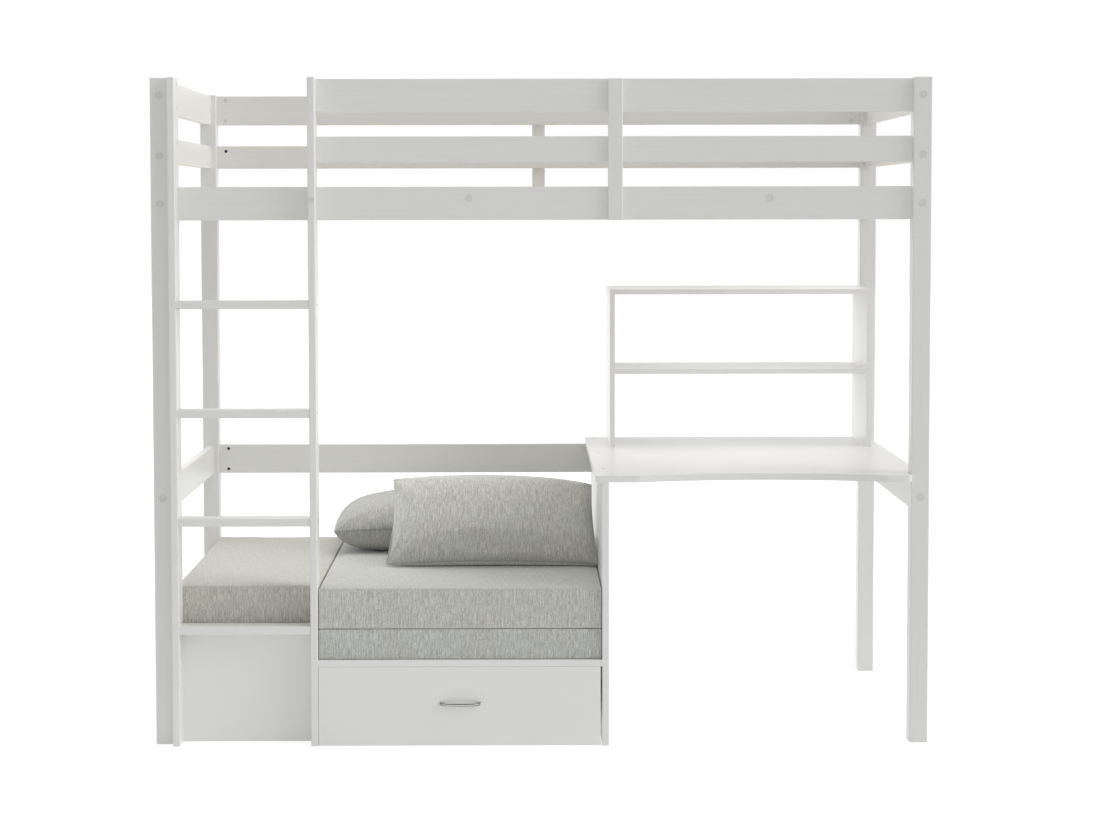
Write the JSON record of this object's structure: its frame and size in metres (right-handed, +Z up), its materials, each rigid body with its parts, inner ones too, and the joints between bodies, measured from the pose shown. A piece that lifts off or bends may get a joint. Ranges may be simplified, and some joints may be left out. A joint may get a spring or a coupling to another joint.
{
  "type": "cabin bed",
  "caption": "Raised single cabin bed with ladder and guard rails, over a corner seat with cushions and a roll-out drawer, and a desk with a shelf unit.",
  "frame": {"origin": "on the floor, under the middle of the whole outline with the drawer shut", "axes": "+X along the bed from the ladder end to the desk end, +Y from the front to the wall side, +Z up"},
  "size_m": [2.11, 1.035, 1.815],
  "materials": {
    "white_wood": "solid pine under white satin lacquer, edges eased",
    "white_board": "furniture board, white satin lacquer, crisp edges",
    "plain_pine": "planed pine, unfinished",
    "satin_steel": "satin nickel",
    "bolt_heads": "white satin enamel",
    "bright_zinc": "zinc plated",
    "wheel_plastic": "moulded, matt",
    "seat_fabric": "woven melange, grey-beige with slubs",
    "pillow_fabric": "woven melange, grey-beige with slubs"
  },
  "bodies": {
    "bed": {"post_front_left": "white_wood", "post_front_right": "white_wood", "post_back_left": "white_wood", "post_back_right": "white_wood", "bed_rail_front": "white_wood", "bed_rail_back": "white_wood", "guard_rail_front_top": "white_wood", "guard_rail_front_mid": "white_wood", "guard_stile_front": "white_wood", "guard_rail_back_top": "white_wood", "guard_rail_back_mid": "white_wood", "guard_stile_back": "white_wood", "end_rail_left_top": "white_wood", "end_rail_left_mid": "white_wood", "end_rail_left_bed": "white_wood", "end_rail_left_low": "white_wood", "end_rail_right_top": "white_wood", "end_rail_right_mid": "white_wood", "end_rail_right_bed": "white_wood", "end_rail_right_low": "white_wood", "back_rail_low": "white_wood", "slat_ledgers": "white_wood", "tie_beams": "white_wood", "slats": "plain_pine", "ladder_stringer_left": "white_wood", "ladder_stringer_right": "white_wood", "ladder_rung_1": "white_wood", "ladder_rung_2": "white_wood", "ladder_rung_3": "white_wood", "ladder_rung_4": "white_wood", "desk_top": "white_board", "desk_side_panel": "white_board", "hutch_side_left": "white_board", "hutch_side_right": "white_board", "hutch_top": "white_board", "hutch_shelf": "white_board", "seat_front_panel": "white_board", "seat_side_panel": "white_board", "seat_divider": "white_board", "seat_rear_panel": "white_board", "seat_board_left": "white_board", "seat_board_right": "white_board", "seat_bearers": "white_wood", "frame_bolts": "bolt_heads", "cross_dowels": "bright_zinc", "panel_screws": "bright_zinc", "seat_cushion_left": "seat_fabric", "seat_cushion_top": "seat_fabric", "seat_cushion_lower": "seat_fabric", "pillow_front": "pillow_fabric", "pillow_rear": "pillow_fabric"},
    "drawer": {"drawer_front": "white_board", "drawer_side_left": "white_board", "drawer_side_right": "white_board", "drawer_back": "white_board", "drawer_bottom": "white_board", "drawer_handle": "satin_steel", "castor_brackets": "bright_zinc"},
    "front_castors": {"castor_wheels_front": "wheel_plastic"},
    "rear_castors": {"castor_wheels_rear": "wheel_plastic"}
  },
  "joints": [
    {"name": "drawer_slide", "type": "slide", "parent": "bed", "child": "drawer", "axis": [0, -1, 0], "range_m": [0, 0.7]},
    {"name": "front_castor_spin", "type": "hinge", "parent": "drawer", "child": "front_castors", "pos_m": [-0.224, -0.4025, 0.02], "axis": [1, 0, 0], "range_deg": [0, 2010]},
    {"name": "rear_castor_spin", "type": "hinge", "parent": "drawer", "child": "rear_castors", "pos_m": [-0.224, 0.2975, 0.02], "axis": [1, 0, 0], "range_deg": [0, 2010]}
  ],
  "couplings": [
    {"joint": "front_castor_spin", "follows": "drawer_slide", "rad_per_m": 50},
    {"joint": "rear_castor_spin", "follows": "drawer_slide", "rad_per_m": 50}
  ]
}
